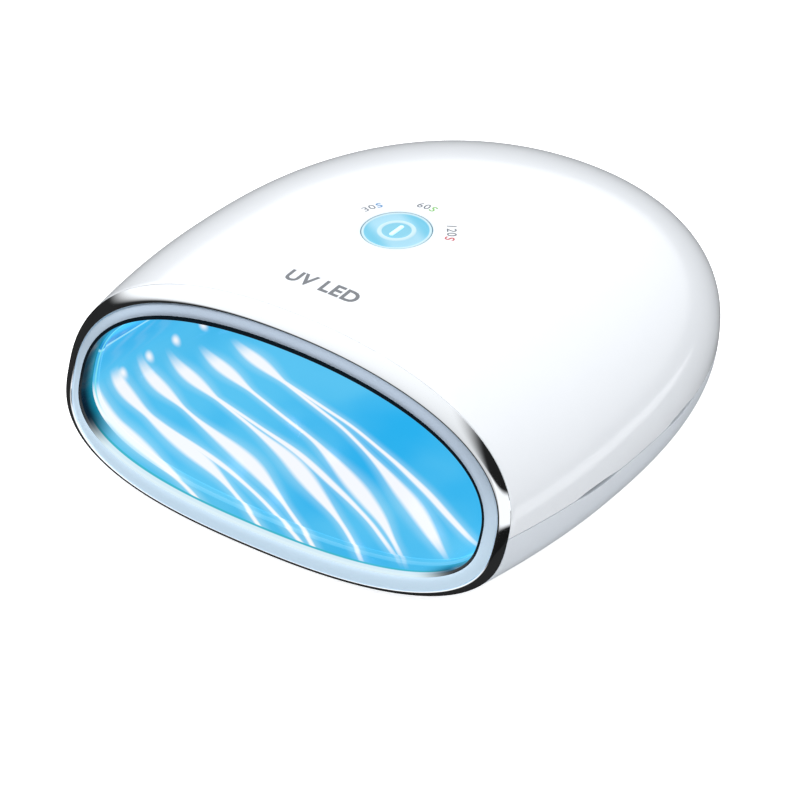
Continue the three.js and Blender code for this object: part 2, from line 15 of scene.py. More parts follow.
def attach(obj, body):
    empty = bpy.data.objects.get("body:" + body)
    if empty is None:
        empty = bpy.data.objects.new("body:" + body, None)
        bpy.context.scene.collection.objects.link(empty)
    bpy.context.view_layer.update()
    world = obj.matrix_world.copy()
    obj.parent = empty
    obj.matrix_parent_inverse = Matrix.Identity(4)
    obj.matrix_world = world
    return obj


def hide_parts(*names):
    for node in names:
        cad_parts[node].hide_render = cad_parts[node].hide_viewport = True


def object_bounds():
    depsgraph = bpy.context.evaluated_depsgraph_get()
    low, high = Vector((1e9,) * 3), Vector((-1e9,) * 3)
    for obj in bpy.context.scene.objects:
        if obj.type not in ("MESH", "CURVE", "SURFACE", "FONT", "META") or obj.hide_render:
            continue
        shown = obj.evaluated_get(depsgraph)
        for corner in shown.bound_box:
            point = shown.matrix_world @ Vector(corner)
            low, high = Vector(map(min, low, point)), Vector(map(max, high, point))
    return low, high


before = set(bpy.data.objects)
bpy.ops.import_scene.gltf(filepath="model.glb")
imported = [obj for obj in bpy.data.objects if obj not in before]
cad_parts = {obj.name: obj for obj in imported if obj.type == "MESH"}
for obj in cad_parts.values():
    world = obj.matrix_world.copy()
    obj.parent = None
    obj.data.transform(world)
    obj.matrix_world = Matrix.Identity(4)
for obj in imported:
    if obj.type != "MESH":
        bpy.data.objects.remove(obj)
cad_low, cad_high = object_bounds()

# ---------------- driving dimensions

DEPTH = 215.6
HALF_WIDTH = 100.0
MOUTH_HALF_WIDTH = 93.3
WIDEST_AT = 61.5
CROWN_UP = 52.0
CROWN_AT = 78.5
MOUTH_CROWN_DROP = 3.2
LEVEL_FRONT = 29.35
LEVEL_BACK = 31.15
UPPER_ROUND = 2.07
LOWER_ROUND = 3.2
LEAN = math.tan(math.radians(18.8))
BOW = 8.9
DISH = 2.0
DISH_LEVEL = 45.0
SEAM = 28.5
GAP = 0.3
FOOT_STAND = 2.0
Y_MID = DEPTH - cad_high.y * 1000

SKIN = 1.9  # thickness of the shell and the tray
CREASE = np.array([3.9, 6.6, 1.2])  # insets at the side, the top and the bottom
MOUTH = np.array([9.0, 12.1, 7.0])  # the same for the opening of the chamber
BAND_FRONT = -0.62  # the satin face starts this far before the mouth plane
TUNNEL_EDGE = np.array([1.1, 1.75, 0.75])  # width of the rounded edge inside the band, painted black as shade
ROLL_CREST = np.array([0.82, 0.88, 0.90])  # where the chrome roll is highest, as part of its width
ROLL_STAND = (1.3, 2.2, 0.75)  # how far it stands out at the side, the top and the bottom
ROLL_SLOPE = 1.35  # 1 makes a flat chamfer up to the crest, 2 a parabola
ROLL_FOOT = 0.7
LIP_FRONT = 5.3
LIP_DEPTH = 3.0
LIP_PROUD = 0.9
HOOD_FRONT = LIP_FRONT + LIP_DEPTH + GAP

CHAMBER_DEPTH = 166.0
CROWN_FALL = 8.2
FALL_LENGTH = 34.0
LINER_WALL = 1.4
LINER_JOINT = 34.0

SOLE = {"half_width": 72.0, "front": 12.0, "back": 176.0, "corner": 42.0, "top": 2.5}
SLOT_ALONG = (46.4, 106.0)
SLOT_HALF_LENGTH = 10.5
SLOT_HALF_HEIGHT = 0.9
SLOT_FADE = 5.0  # height over which the skin beside a slot makes way
FOOT_PLACES = {
    "front_left": (-56, 30),
    "front_right": (56, 30),
    "rear_left": (-44, 156),
    "rear_right": (44, 156),
}
FOOT_RADIUS = 6.0
FOOT_POCKET = 1.2  # depth of the pocket that holds it
SCREW_PLACES = ((-89.5, 68), (89.5, 68), (-40, 190), (40, 190))
COLUMN_RADIUS = 4.8
COLUMN_SHAFT = 1.9
COLUMN_TOP = SEAM - 0.5
COUNTERBORE_RADIUS = 3.5
COUNTERBORE_END = 17.0
JACK_Z = 21.5
JACK_FACE = 200.5
JACK_BORE = 4.5

BUTTON_ALONG = 66.6
BUTTON_RADIUS = 12.2
BUTTON_PROUD = 0.05
CAP_SUNK = 0.35  # less depth than the CAD's cap, because the top is lower and the underside isn't
LEGEND_RADIUS = 18.6
LEGEND_SIZE = 4.8
LEGENDS = (("30", 152.0), ("60", 91.0), ("120", 31.0))  # number and direction from the button
MARK_ALONG = 19.5
MARK_SIZE = 8.4

# three lamp boards on the ceiling: angle round the section, width and stand
LAMP_BANKS = ((2.27, 32, 3.4), (math.pi / 2, 46, 1.6), (math.pi - 2.27, 32, 3.4))
BANK_ALONG = 75.0
BANK_DEPTH = 60.0
LED_RADIUS = 2.6

# The light painted on the liner is a set of evenly pitched arcs round one point left in front
# of the lamp. Each is thin, with one long swelling that comes nearer to the mouth from arc to arc.
ARC_CENTRE = (-120.0, -170.0)
ARC_COUNT = 6
ARC_RADIUS = 194.0
ARC_PITCH = 13.0
ARC_DRIFT = 0.3  # millimetres outwards for each degree towards the mouth
ARC_HALF_WIDTH = 0.5
ARC_FROM_WALL = 82.0  # degrees, like the angles below
ARC_LENGTH = 35.0
SWELL_ANGLE = 73.0
SWELL_STEP = 4.0
SWELL_LENGTH = 9.0
SWELL_HALF_WIDTH = 3.0
WALL_GLOW = 2.6  # half width of the short swelling by the wall
FORK_DRIFT = 0.4  # a thin branch leaves every other arc at its swelling and drifts off
SPOT_COUNT = 4  # small flares in a row on the left wall
SPOT_FIRST = 34.0
SPOT_PITCH = 14.0
SPOT_LEVEL = 20.0
SPOT_RADIUS = 2.6

FLOOR_SPAN = (-6000.0, 6000.0)
WALL_HEIGHT = 6000.0

ROUND = 256  # steps round the body
ROWS = 132  # steps along it
LINER_ROWS = 90
HEIGHT_STEPS = 40  # rounds that settle the height of the leaning skin
PATCH_REACH = 21.0  # half width of the finer skin round the button
PATCH_STEPS = 9


# ---------------- body surface


def lean(x, z):
    """How far the mouth surface stands back at (x, z)."""
    return z * LEAN + BOW * (x / MOUTH_HALF_WIDTH) ** 2 - DISH * ((z - DISH_LEVEL) / DISH_LEVEL) ** 2


def fade(t, power, root):
    return np.maximum(0, 1 - np.maximum(0, t) ** power) ** (1 / root)


def body_profile(along):
    """Half width, level of the widest line, and the heights above and below it."""
    along = np.asarray(along, float)
    ahead = np.maximum(0, WIDEST_AT - along) / WIDEST_AT
    beyond = (along - WIDEST_AT) / (DEPTH - WIDEST_AT)
    after_crown = (along - CROWN_AT) / (DEPTH - CROWN_AT)
    drop = MOUTH_CROWN_DROP * (np.maximum(0, CROWN_AT - along) / CROWN_AT) ** 2
    level = LEVEL_FRONT + (LEVEL_BACK - LEVEL_FRONT) * along / DEPTH
    half = HALF_WIDTH * fade(beyond, 2.36, 2.17) - (HALF_WIDTH - MOUTH_HALF_WIDTH) * ahead**2
    up = CROWN_UP * fade(after_crown, 1.98, 2.13) - drop
    down = level * fade(along / DEPTH, 3.15, 2.01)
    return half, level, up, down


def chamber_profile(along, outwards=0.0):
    """The same four measures of the chamber, or of a surface a little outside it."""
    half, level, up, down = body_profile(0.0)
    t = np.asarray(along, float) / (CHAMBER_DEPTH + outwards)
    rise = np.clip(np.asarray(along, float) / FALL_LENGTH, 0, 1)
    fall = CROWN_FALL * rise**2 * (3 - 2 * rise)
    return (
        (half - MOUTH[0] + outwards) * fade(t, 3, 2.5),
        level,
        (up - MOUTH[1] - fall + outwards) * fade(t, 5, 2.5),
        (down - MOUTH[2] + outwards) * fade(t, 10, 2.5),
    )


def section(profile, turn):
    """Point of a cross-section in the polar direction `turn`."""
    half, level, up, down = profile
    c, s = np.cos(turn), np.sin(turn)
    power = np.where(s > 0, UPPER_ROUND, LOWER_ROUND)
    reach = (np.abs(c) ** power + np.abs(s) ** power) ** (-1 / power)
    return half * reach * c, level + np.where(s > 0, up, down) * reach * s


def leaned(along, x, z):
    return along + (1 - along / DEPTH) * lean(x, z)


def skin_height(x, y, under=False):
    """Height of the outside over the plan points (x, y), at the top or at the underside."""
    x, y = np.asarray(x, float), np.asarray(y, float)
    power = LOWER_ROUND if under else UPPER_ROUND
    z = np.full_like(x, 0.0 if under else CROWN_UP + LEVEL_FRONT)
    for _ in range(HEIGHT_STEPS):
        shift = lean(x, z)
        half, level, up, down = body_profile((y - shift) / (1 - shift / DEPTH))
        reach = -down if under else up
        z = level + reach * np.maximum(0, 1 - np.abs(x / half) ** power) ** (1 / power)
    return z


def crown_point(along):
    _half, level, up, _down = body_profile(along)
    return float(leaned(along, 0.0, level + up)), float(level + up)


BUTTON_Y, BUTTON_Z = crown_point(BUTTON_ALONG)


# ---------------- meshes


def place(points):
    """Lamp millimetres to the frame, in metres."""
    return (np.asarray(points, float) - (0, Y_MID, -FOOT_STAND)) * 0.001


def new_object(name, points, faces, crease_degrees=40):
    """A smooth-shaded mesh object from lamp points, its normals facing out."""
    mesh = bpy.data.meshes.new(name)
    mesh.from_pydata([tuple(p) for p in place(points)], [], faces)
    mesh.validate()
    obj = bpy.data.objects.new(name, mesh)
    bpy.context.scene.collection.objects.link(obj)
    tidy(obj, crease_degrees)
    return obj


def tidy(obj, crease_degrees=40):
    """Merges doubles, turns the faces out and marks the sharp edges."""
    work = bmesh.new()
    work.from_mesh(obj.data)
    bmesh.ops.remove_doubles(work, verts=work.verts, dist=2e-6)
    bmesh.ops.recalc_face_normals(work, faces=work.faces)
    middle = sum((v.co for v in work.verts), Vector()) / len(work.verts)
    outwards = sum((f.calc_center_median() - middle).dot(f.normal) * f.calc_area() for f in work.faces)
    if outwards < 0:
        bmesh.ops.reverse_faces(work, faces=work.faces)
    work.to_mesh(obj.data)
    work.free()
    shade(obj, crease_degrees)


def shade(obj, crease_degrees=40):
    obj.data.shade_smooth()
    obj.data.set_sharp_from_angle(angle=math.radians(crease_degrees))


def settle(obj, crease_degrees=40):
    """Replaces the mesh by what its modifiers make of it."""
    graph = bpy.context.evaluated_depsgraph_get()
    made = bpy.data.meshes.new_from_object(obj.evaluated_get(graph))
    obj.modifiers.clear()
    obj.data = made
    shade(obj, crease_degrees)


def grid_faces(rows, columns, closed_columns=True, closed_rows=False):
    """Quads of a grid of points kept row after row."""
    faces = []
    for i in range(rows if closed_rows else rows - 1):
        for j in range(columns if closed_columns else columns - 1):
            a, b = i * columns + j, i * columns + (j + 1) % columns
            step = (((i + 1) % rows) - i) * columns
            faces.append((a, b, b + step, a + step))
    return faces


def ring_turn():
    return np.linspace(0, 2 * math.pi, ROUND, endpoint=False)


def round_mouth(side, top, bottom):
    """A measure round the mouth that goes smoothly from its sides to its top and its bottom."""
    rise = np.sin(ring_turn())
    return side + np.where(rise > 0, top - side, bottom - side) * rise**2


def hoop(name, insets, backs, crease_degrees=40):
    """Closed ring round the mouth; `insets` has a side, top and bottom inset for each corner."""
    turn = ring_turn()
    outline = body_profile(0.0)
    points = []
    for inset, back in zip(insets, backs):
        profile = (outline[0] - inset[0], outline[1], outline[2] - inset[1], outline[3] - inset[2])
        x, z = section(profile, turn)
        points.append(np.column_stack([x, leaned(back, x, z), z]))
    faces = grid_faces(len(points), ROUND, closed_rows=True)
    return new_object(name, np.vstack(points), faces, crease_degrees)


def round_points(outline, x, y, steps):
    """Rings of points for each (radius, distance along the axis) of `outline`."""
    angle = np.linspace(0, 2 * math.pi, steps, endpoint=False)
    rings = []
    for radius, rise in outline:
        flat = (x + radius * np.cos(angle), y + radius * np.sin(angle))
        rings.append(np.column_stack([*flat, np.full(steps, float(rise))]))
    return np.vstack(rings)


def turned(name, outline, centre, axis="z", steps=96, crease_degrees=40):
    """Turned piece: `outline` is a list of (radius, distance along the axis)."""
    points = round_points(outline, 0, 0, steps)
    if axis == "y":
        points = points[:, [0, 2, 1]]
    return new_object(name, points + np.array(centre), grid_faces(len(outline), steps), crease_degrees)


def cut(obj, height, keep_above):
    """Keeps the part of a skin above or below a level plane."""
    work = bmesh.new()
    work.from_mesh(obj.data)
    bmesh.ops.bisect_plane(
        work,
        geom=work.verts[:] + work.edges[:] + work.faces[:],
        plane_co=Vector(place((0, 0, height))),
        plane_no=(0, 0, 1),
        dist=1e-7,
        clear_inner=keep_above,
        clear_outer=not keep_above,
    )
    work.to_mesh(obj.data)
    work.free()


def combine(obj, other, operation):
    """Exact boolean with a helper object, which is then removed."""
    modifier = obj.modifiers.new("combine", "BOOLEAN")
    modifier.operation = operation
    modifier.solver = "EXACT"
    modifier.object = other
    settle(obj)
    bpy.data.objects.remove(other)


def thicken(obj, thickness, bevel=0.0, crease_degrees=40, offset=-1):
    """Gives a skin its wall, inside it or outside by `offset`, and rounds its rims."""
    wall = obj.modifiers.new("wall", "SOLIDIFY")
    wall.thickness = thickness * 0.001
    wall.offset = offset
    wall.use_even_offset = False
    if bevel:
        rim = obj.modifiers.new("rim", "BEVEL")
        rim.width = bevel * 0.001
        rim.segments = 2
        rim.limit_method = "ANGLE"
        rim.angle_limit = math.radians(50)
    settle(obj, crease_degrees)


# ---------------- node materials


class Field:
    """A number at every point of a surface; arithmetic on it adds Math nodes."""

    def __init__(self, tree, socket):
        self.tree = tree
        self.socket = socket

    def math(self, operation, *others):
        node = self.tree.nodes.new("ShaderNodeMath")
        node.operation = operation
        for i, value in enumerate((self, *others)):
            if isinstance(value, Field):
                self.tree.links.new(value.socket, node.inputs[i])
            else:
                node.inputs[i].default_value = value
        return Field(self.tree, node.outputs[0])

    def __add__(self, other):
        return self.math("ADD", other)

    def __sub__(self, other):
        return self.math("SUBTRACT", other)

    def __mul__(self, other):
        return self.math("MULTIPLY", other)

    def __truediv__(self, other):
        return self.math("DIVIDE", other)

    def size(self):
        return self.math("ABSOLUTE")

    def larger(self, other):
        return self.math("MAXIMUM", other)

    def ease(self, start, end, low=0.0, high=1.0):
        """Goes smoothly from `low` to `high` while the field goes from `start` to `end`."""
        node = self.tree.nodes.new("ShaderNodeMapRange")
        node.interpolation_type = "SMOOTHSTEP"
        flip = isinstance(start, (int, float)) and isinstance(end, (int, float)) and start > end
        values = (end, start, high, low) if flip else (start, end, low, high)
        self.tree.links.new(self.socket, node.inputs["Value"])
        for name, value in zip(("From Min", "From Max", "To Min", "To Max"), values):
            if isinstance(value, Field):
                self.tree.links.new(value.socket, node.inputs[name])
            else:
                node.inputs[name].default_value = value
        return Field(self.tree, node.outputs[0])


def position(tree, kind):
    """The three coordinates of one kind, as fields."""
    source = tree.nodes.new("ShaderNodeTexCoord")
    split = tree.nodes.new("ShaderNodeSeparateXYZ")
    tree.links.new(source.outputs[kind], split.inputs[0])
    return [Field(tree, split.outputs[i]) for i in range(3)]


def coordinates(tree):
    """x, y and z of the surface point in lamp millimetres."""
    x, y, z = position(tree, "Object")
    return x * 1000, y * 1000 + Y_MID, z * 1000 - FOOT_STAND


def noise(tree, scale, detail=3.0, stretch=(1, 1, 1)):
    """Noise field over the object, `scale` in cells a metre."""
    source = tree.nodes.new("ShaderNodeTexCoord")
    mapping = tree.nodes.new("ShaderNodeMapping")
    mapping.inputs["Scale"].default_value = stretch
    texture = tree.nodes.new("ShaderNodeTexNoise")
    texture.inputs["Scale"].default_value = scale
    texture.inputs["Detail"].default_value = detail
    tree.links.new(source.outputs["Object"], mapping.inputs["Vector"])
    tree.links.new(mapping.outputs[0], texture.inputs["Vector"])
    return Field(tree, texture.outputs[0])


def mix(tree, amount, first, second):
    """Colour between two others; each is a tuple or the socket of an earlier mix."""
    node = tree.nodes.new("ShaderNodeMix")
    node.data_type = "RGBA"
    tree.links.new(amount.socket, node.inputs["Factor"])
    for name, value in (("A", first), ("B", second)):
        socket = next(s for s in node.inputs if s.name == name and s.type == "RGBA")
        if isinstance(value, tuple):
            socket.default_value = (*value, 1)
        else:
            tree.links.new(value, socket)
    return next(s for s in node.outputs if s.type == "RGBA")


def linear(red, green, blue):
    """Colour from 0-255 display values."""
    parts = [value / 255 for value in (red, green, blue)]
    return tuple(part / 12.92 if part < 0.0404 else ((part + 0.055) / 1.055) ** 2.4 for part in parts)


def material(
    name, colour, roughness, metallic=0.0, tint=0.04, cells=300, bump=0.0, stretch=(1, 1, 1), **sockets
):
    """Principled material whose colour and relief vary a little by noise. Returns it and its parts."""
    made = bpy.data.materials.new(name)
    made.use_nodes = True
    tree = made.node_tree
    shader = tree.nodes["Principled BSDF"]
    shader.inputs["Roughness"].default_value = roughness
    shader.inputs["Metallic"].default_value = metallic
    for key, value in sockets.items():
        shader.inputs[key.replace("_", " ")].default_value = value
    grain = noise(tree, cells, stretch=stretch)
    darker = tuple(c * (1 - tint) for c in colour)
    base = mix(tree, grain, darker, tuple(colour))
    tree.links.new(base, shader.inputs["Base Color"])
    if bump:
        relief = tree.nodes.new("ShaderNodeBump")
        relief.inputs["Strength"].default_value = 1.0
        relief.inputs["Distance"].default_value = bump * 0.001
        tree.links.new(grain.socket, relief.inputs["Height"])
        tree.links.new(relief.outputs[0], shader.inputs["Normal"])
    return made, tree, shader, base


def give_light(tree, shader, colour, strength):
    tree.links.new(colour, shader.inputs["Emission Color"])
    shader.inputs["Emission Strength"].default_value = strength


def gloss_white():
    """Glossy white shell, with blue light from the button painted round it."""
    made, tree, shader, base = material(
        "gloss_white", (0.89, 0.91, 0.94), 0.14, tint=0.015, cells=60, Coat_Weight=0.1, Coat_Roughness=0.04
    )
    x, y, _z = coordinates(tree)
    y = y - BUTTON_Y
    away = (x * x + y * y).math("SQRT")
    # painted light: the button's blue glow on the shell, fading out a few millimetres from its edge
    painted_button_glow = away.ease(BUTTON_RADIUS - 1, BUTTON_RADIUS + 6, 0.22, 0.0)
    tree.links.new(mix(tree, painted_button_glow, base, linear(150, 218, 250)), shader.inputs["Base Color"])
    return made


def satin_white():
    return material("satin_white", (0.78, 0.82, 0.87), 0.32, tint=0.02, cells=900, bump=0.004)[0]


def chrome():
    return material("chrome", (0.93, 0.95, 0.97), 0.035, 1.0, tint=0.02, cells=40)[0]


def satin_silver():
    """Fine-grained pale plating, with painted blue light along its foot and its left side."""
    made, tree, shader, _base = material(
        "satin_silver", (0.56, 0.66, 0.79), 0.36, 0.5, tint=0.14, cells=2600, bump=0.006
    )
    x, _y, z = coordinates(tree)
    spill = z.ease(62, 8).larger(x.ease(-40, -88) * 0.42)
    give_light(tree, shader, mix(tree, spill, (0, 0, 0), linear(200, 228, 244)), 0.55)
    return made


def clear_acrylic():
    """Strip painted with the light of the chamber, as if clear, between two painted highlights along its
    edges.
    """
    made, tree, shader, _base = material(
        "clear_acrylic", (0.05, 0.12, 0.15), 0.05, tint=0.05, cells=120, IOR=1.49
    )
    x, y, z = coordinates(tree)
    back = behind_mouth(x, y, z)
    high = z.ease(12, 22)
    # painted highlights along the front and rear edges, only higher up
    front_edge_highlight = (back - (LIP_FRONT + 0.15)).size().ease(0.45, 0.1) * high
    rear_edge_highlight = (back - (LIP_FRONT + LIP_DEPTH - 0.5)).size().ease(0.3, 0.05, 0.0, 0.8) * high
    colour = mix(tree, front_edge_highlight, chamber_light(tree, x, y, z), linear(120, 222, 236))
    colour = mix(tree, rear_edge_highlight, colour, linear(200, 243, 250))
    give_light(tree, shader, colour, 0.9)
    return made


def one_arc(radius, angle, number, fork):
    """Core and glow of one arc of light, or of the thin branch that forks off it."""
    swell = SWELL_ANGLE - SWELL_STEP * number
    start = ARC_FROM_WALL - 0.5 * number
    middle = (angle * -1 + 70) * ARC_DRIFT + (ARC_RADIUS + ARC_PITCH * number)
    near_swell = (angle - swell).size().ease(SWELL_LENGTH, 0, 0.0, SWELL_HALF_WIDTH)
    near_wall = (angle - (start - 3)).size().ease(4, 0, 0.0, WALL_GLOW)
    width = near_swell + near_wall + ARC_HALF_WIDTH
    if fork:
        middle = middle + (angle * -1 + (start - 6)).larger(0.0) * FORK_DRIFT
        width = near_swell * 0.25 + ARC_HALF_WIDTH
    off = (radius - middle).size()
    end = start - ARC_LENGTH
    along = angle.ease(start, start - 2.5) * angle.ease(end - 1, end + 4)
    core = off.ease(width + 0.6, width * 0.5) * along
    glow = off.ease(width * 1.6 + 3.0, width * 0.5, 0.0, 0.42) * along
    return core, glow


def arcs_of_light(tree, x, y):
    """White cores and the soft glow beside them."""
    x = x - ARC_CENTRE[0]
    y = y - ARC_CENTRE[1]
    wobble = (noise(tree, 22, 1.0) - 0.5) * 3
    radius = (x * x + y * y).math("SQRT") + wobble
    angle = y.math("ARCTAN2", x) * (180 / math.pi)
    core, glow = one_arc(radius, angle, 0, False)
    for number in range(1, ARC_COUNT):
        for fork in (False, True) if number % 2 else (False,):
            line, painted_button_glow = one_arc(radius, angle, number, fork)
            core, glow = core.larger(line), glow.larger(painted_button_glow)
    return core, glow


def spot(x, y, at, reach):
    """Soft round field, 1 at `at` and 0 at `reach` from it."""
    x, y = x - at[0], y - at[1]
    return (x * x + y * y).math("SQRT").ease(reach, 0)


def chamber_light(tree, x, y, z):
    """Painted light of the liner: sky blue, deeper in soft patches, with the white arcs."""
    cloud = noise(tree, 24, 2.0).ease(0.35, 0.7)
    colour = mix(tree, cloud, linear(92, 197, 240), linear(64, 185, 236))
    deep = noise(tree, 15, 1.0, stretch=(1, 0.7, 0.2)).ease(0.52, 0.68)
    colour = mix(tree, deep * 0.6, colour, linear(0, 172, 236))
    # painted shade: the light deepens above 20 mm, is darkest up in the hood and is deeper far in
    colour = mix(tree, z.ease(20, 30) * 0.75, colour, linear(48, 172, 228))
    colour = mix(tree, z.ease(40, 52), colour, linear(30, 110, 165))
    colour = mix(tree, y.ease(100, 150), colour, linear(56, 158, 214))
    # a deeper blue band painted just above the joint, towards the front
    above_joint = z.ease(LINER_JOINT, LINER_JOINT + 1) * z.ease(LINER_JOINT + 5, LINER_JOINT + 2)
    colour = mix(tree, above_joint * y.ease(60, 30) * 0.8, colour, linear(0, 128, 206))
    # painted glint along the joint
    joint_glint = (z - LINER_JOINT).size().ease(0.7, 0.2, 0.0, 0.8) * y.ease(75, 50)
    colour = mix(tree, joint_glint, colour, linear(170, 232, 248))
    core, glow = arcs_of_light(tree, x, y)
    low = z.ease(24, 18)
    colour = mix(tree, glow * low, colour, linear(190, 234, 250))
    colour = mix(tree, core * low, colour, (1.0, 1.0, 1.0))
    wall_side = x.ease(-60, -74)
    for number in range(SPOT_COUNT):
        flare = spot(y, z, (SPOT_FIRST + SPOT_PITCH * number, SPOT_LEVEL), SPOT_RADIUS)
        colour = mix(tree, flare * wall_side, colour, (1.0, 1.0, 1.0))
    return colour


def behind_mouth(x, y, z):
    """How far a point lies behind the leaning, bowed plane of the mouth."""
    bow = x * x * (BOW / MOUTH_HALF_WIDTH**2)
    dish = (z - DISH_LEVEL) / DISH_LEVEL
    return y - z * LEAN - bow + dish * dish * DISH


def reflector():
    """Glossy liner, painted with blue light and white arcs."""
    made, tree, shader, _base = material("reflector", (0.02, 0.05, 0.08), 0.12, 0.0, cells=30)
    give_light(tree, shader, chamber_light(tree, *coordinates(tree)), 0.92)
    return made


def tunnel_shade_and_glow():
    """Rim painted black as shade, turning to painted teal light further in, with painted light on its floor.
    """
    made, tree, shader, _base = material("tunnel_shade_and_glow", (0.004, 0.008, 0.012), 0.15, 0.0, cells=60)
    x, y, z = coordinates(tree)
    back = behind_mouth(x, y, z)
    # painted shade at the rim, going over to the chamber's teal light painted further in
    colour = mix(tree, back.ease(0.0, 5.5), (0.0, 0.002, 0.004), linear(18, 138, 168))
    # on the floor: a painted highlight at the front, then the chamber's painted light, crossed by a thin
    # painted teal line
    floor_light = mix(tree, back.ease(0.2, 0.8), linear(222, 242, 250), chamber_light(tree, x, y, z))
    floor_line = (back - 0.7).size().ease(0.7, 0.3)
    floor_light = mix(tree, floor_line, floor_light, linear(64, 184, 204))
    colour = mix(tree, z.ease(16, 10) * x.size().ease(84, 66), colour, floor_light)
    give_light(tree, shader, colour, 0.94)
    return made


def button_blue():
    """Cap painted as if lit from below: deeper blue in the groove, on two opposite sides."""
    made, tree, shader, _base = material("button_blue", (0.05, 0.09, 0.11), 0.25, cells=200)
    x, y, _z = coordinates(tree)
    y = y - BUTTON_Y
    away = (x * x + y * y).math("SQRT") / BUTTON_RADIUS
    across = (x * 0.5 + y * 0.866).size() / BUTTON_RADIUS
    groove = away.ease(0.53, 0.57) * away.ease(0.94, 0.90)
    patches = groove * across.ease(0.35, 0.75)
    centre = away.ease(0.44, 0.41)
    colour = mix(tree, groove, linear(214, 244, 252), linear(164, 222, 245))
    colour = mix(tree, patches, colour, linear(88, 198, 232))
    colour = mix(tree, centre, colour, linear(118, 206, 234))
    # painted shade at the very edge of the cap, by the gap round it
    colour = mix(tree, away.ease(0.98, 0.995), colour, linear(110, 140, 152))
    give_light(tree, shader, colour, 0.82)
    return made


def lit(name, colour, strength, roughness=0.2):
    light = {"Emission_Color": (*colour, 1), "Emission_Strength": strength}
    return material(name, colour, roughness, cells=150, **light)[0]


def rubber():
    return material("rubber", (0.035, 0.037, 0.04), 0.8, tint=0.4, cells=900, bump=0.03)[0]


def black_plastic():
    return material("black_plastic", (0.02, 0.02, 0.022), 0.42, tint=0.3, cells=1500, bump=0.012)[0]


def steel():
    grey = (0.58, 0.60, 0.62)
    return material("steel", grey, 0.28, 1.0, tint=0.15, cells=700, stretch=(1, 1, 8), bump=0.004)[0]


def aluminium():
    return material("aluminium", (0.70, 0.72, 0.74), 0.38, 0.9, tint=0.15, cells=500, stretch=(12, 1, 1))[0]


def inner_plastic():
    return material("inner_plastic", (0.84, 0.86, 0.88), 0.5, tint=0.05, cells=700, bump=0.01)[0]


def board_green():
    return material("board_green", (0.03, 0.20, 0.10), 0.45, tint=0.35, cells=180, bump=0.01)[0]


def lead_sheath():
    return material("lead_rubber", (0.05, 0.05, 0.055), 0.6, tint=0.3, cells=600)[0]


def led_lens():
    light = {"Emission_Color": (*linear(150, 175, 255), 1), "Emission_Strength": 1.1}
    return material("led_lens", (0.85, 0.92, 1.0), 0.05, tint=0.05, Transmission_Weight=0.6, **light)[0]


# ---------------- housing


def lofted_skin(profile, start, end, rows=ROWS):
    """Surface round a body from `start` to its pole at `end`, as points on a grid."""
    along = start + (end - start) * np.sin(np.linspace(0, math.pi / 2, rows))
    points = []
    for at in along:
        x, z = section(profile(at), ring_turn())
        points.append(np.column_stack([x, leaned(at, x, z), z]))
    return along, np.vstack(points)


def slot_lift(y):
    """Half height of the ventilation slots at each y, zero outside them."""
    lift = np.zeros_like(y)
    for along in SLOT_ALONG:
        half = float(body_profile(along)[0])
        middle = float(leaned(along, half, SEAM))
        lens = np.sqrt(np.maximum(0, 1 - ((y - middle) / SLOT_HALF_LENGTH) ** 2))
        lift = np.maximum(lift, SLOT_HALF_HEIGHT * lens)
    return lift


def open_slots(obj, side):
    """Bows the seam edge away from its neighbour along the slots; `side` is +1 for the shell."""
    edge = SEAM + side * GAP / 2
    for vertex in obj.data.vertices:
        y, z = vertex.co.y * 1000 + Y_MID, vertex.co.z * 1000 - FOOT_STAND
        above = (z - edge) * side
        if above < SLOT_FADE and abs(vertex.co.x) > 0.05:
            lift = max(0.0, float(slot_lift(np.array([y]))[0]) - GAP / 2)
            vertex.co.z += side * lift * (1 - above / SLOT_FADE) ** 2 * 0.001


def button_patch(along, points):
    """Leaves a window in the grid round the button and fills it up to the round hole."""
    top = ROUND // 4
    reach = PATCH_REACH
    rows = [i for i, at in enumerate(along) if abs(leaned(at, 0.0, BUTTON_Z) - BUTTON_Y) < reach]
    first, last = rows[0], rows[-1]
    spread = next(j for j in range(1, top) if points[first * ROUND + top - j][0] > reach)
    left, right = top - spread, top + spread
    faces = []
    for number, quad in enumerate(grid_faces(len(along), ROUND)):
        i, j = divmod(number, ROUND)
        if not (first <= i < last and left <= j < right):
            faces.append(quad)
    border = [first * ROUND + j for j in range(left, right)]
    border += [i * ROUND + right for i in range(first, last)]
    border += [last * ROUND + j for j in range(right, left, -1)]
    border += [i * ROUND + left for i in range(last, first, -1)]
    outer = points[border]
    bearing = np.arctan2(outer[:, 1] - BUTTON_Y, outer[:, 0])
    hole = BUTTON_RADIUS + GAP
    circle = np.column_stack([hole * np.cos(bearing), BUTTON_Y + hole * np.sin(bearing)])
    ring = list(border)
    for step in range(1, PATCH_STEPS + 1):
        part = step / PATCH_STEPS
        plan = outer[:, :2] * (1 - part) + circle * part
        height = skin_height(plan[:, 0], plan[:, 1])
        start = len(points)
        points = np.vstack([points, np.column_stack([plan, height])])
        new_ring = list(range(start, start + len(border)))
        for k in range(len(border)):
            n = (k + 1) % len(border)
            faces.append((ring[k], ring[n], new_ring[n], new_ring[k]))
        ring = new_ring
    return points, faces


def shell_skin():
    along, points = lofted_skin(body_profile, GAP, DEPTH)
    points, faces = button_patch(along, points)
    shell = new_object("shell_skin", points, faces)
    cut(shell, SEAM + GAP / 2, keep_above=True)
    open_slots(shell, +1)
    thicken(shell, SKIN, bevel=0.28, crease_degrees=55)
    return shell


